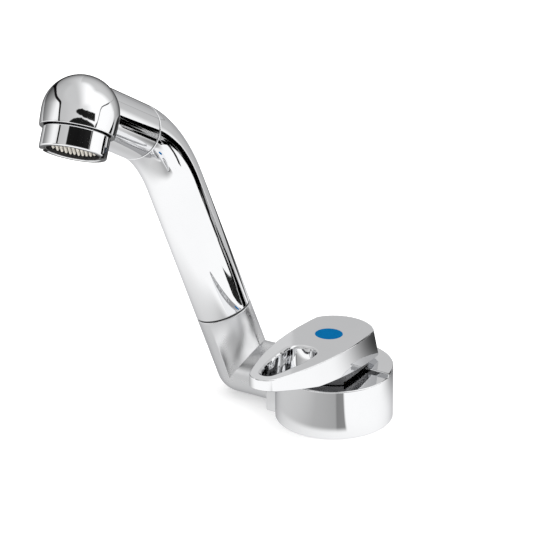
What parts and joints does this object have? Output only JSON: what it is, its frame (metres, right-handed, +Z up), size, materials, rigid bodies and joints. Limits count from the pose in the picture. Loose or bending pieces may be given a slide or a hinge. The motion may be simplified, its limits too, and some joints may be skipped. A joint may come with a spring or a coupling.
{
  "type": "folding tap",
  "caption": "Chromed folding tap with a round base, a flat loop lever, a side-hinged leaning arm, a swivelling spout with an aerator, and an angled hose connector below the worktop.",
  "frame": {"origin": "centre of the base's underside, on the worktop's top face", "axes": "+Z up out of the worktop, -Y to the front where the lever's tip and the outlet point, -X to the folding boss and arm"},
  "size_m": [0.1173, 0.1155, 0.2469],
  "materials": {
    "chrome": "polished chrome plate",
    "steel": "plain stainless steel",
    "brass": "machined brass",
    "rubber": "matte black rubber",
    "ceramic": "lapped white ceramic",
    "white_plastic": "moulded nylon",
    "black_plastic": "moulded black acetal",
    "pale_plastic": "moulded pale acetal",
    "blue_plastic": "satin moulded blue plastic",
    "blue_enamel": "smooth blue plastic"
  },
  "bodies": {
    "base": {"base_body": "chrome", "base_gasket": "rubber", "threaded_shank": "white_plastic", "flange_screws": "steel", "sealing_washer": "rubber", "thrust_washer": "steel", "backnut": "white_plastic", "inlet_socket": "brass", "inlet_clip": "steel", "seat_seal": "rubber", "fixed_disc": "ceramic", "valve_bonnet": "brass", "fold_lock_screw": "steel"},
    "lever": {"lever": "chrome", "index_disc": "blue_enamel", "lever_grub_screw": "steel", "valve_spindle": "brass", "moving_disc": "ceramic", "spindle_o_ring": "rubber"},
    "arm": {"lower_elbow": "chrome", "fold_o_rings": "rubber", "fold_glide_ring": "black_plastic", "riser_o_rings": "rubber", "riser_snap_ring": "steel", "riser_glide_ring": "black_plastic"},
    "riser": {"riser_tube": "chrome"},
    "head": {"spout_head": "chrome", "head_o_rings": "rubber", "head_snap_ring": "steel", "head_glide_ring": "black_plastic", "aerator_housing": "chrome", "aerator_seal": "rubber", "aerator_screen": "steel", "aerator_insert": "pale_plastic"},
    "connector": {"hose_connector": "blue_plastic", "connector_o_ring": "rubber"}
  },
  "joints": [
    {"name": "lever_turn", "type": "hinge", "parent": "base", "child": "lever", "pos_m": [0, 0, 0.03], "axis": [0, 0, 1], "range_deg": [0, 55]},
    {"name": "arm_fold", "type": "hinge", "parent": "base", "child": "arm", "pos_m": [-0.02, 0, 0.0124], "axis": [1, 0, 0], "range_deg": [0, 75]},
    {"name": "riser_swivel", "type": "hinge", "parent": "arm", "child": "riser", "pos_m": [-0.0523, -0.00464, 0.03848], "axis": [-0.2689, -0.1689, 0.9482], "range_deg": [-90, 90]},
    {"name": "head_turn", "type": "hinge", "parent": "riser", "child": "head", "pos_m": [-0.0748, -0.03397, 0.1244], "axis": [-0.0462, -0.853, 0.5199], "range_deg": [-60, 60]},
    {"name": "connector_swivel", "type": "hinge", "parent": "base", "child": "connector", "pos_m": [0, 0, -0.05], "axis": [0, 0, 1], "continuous": true}
  ]
}
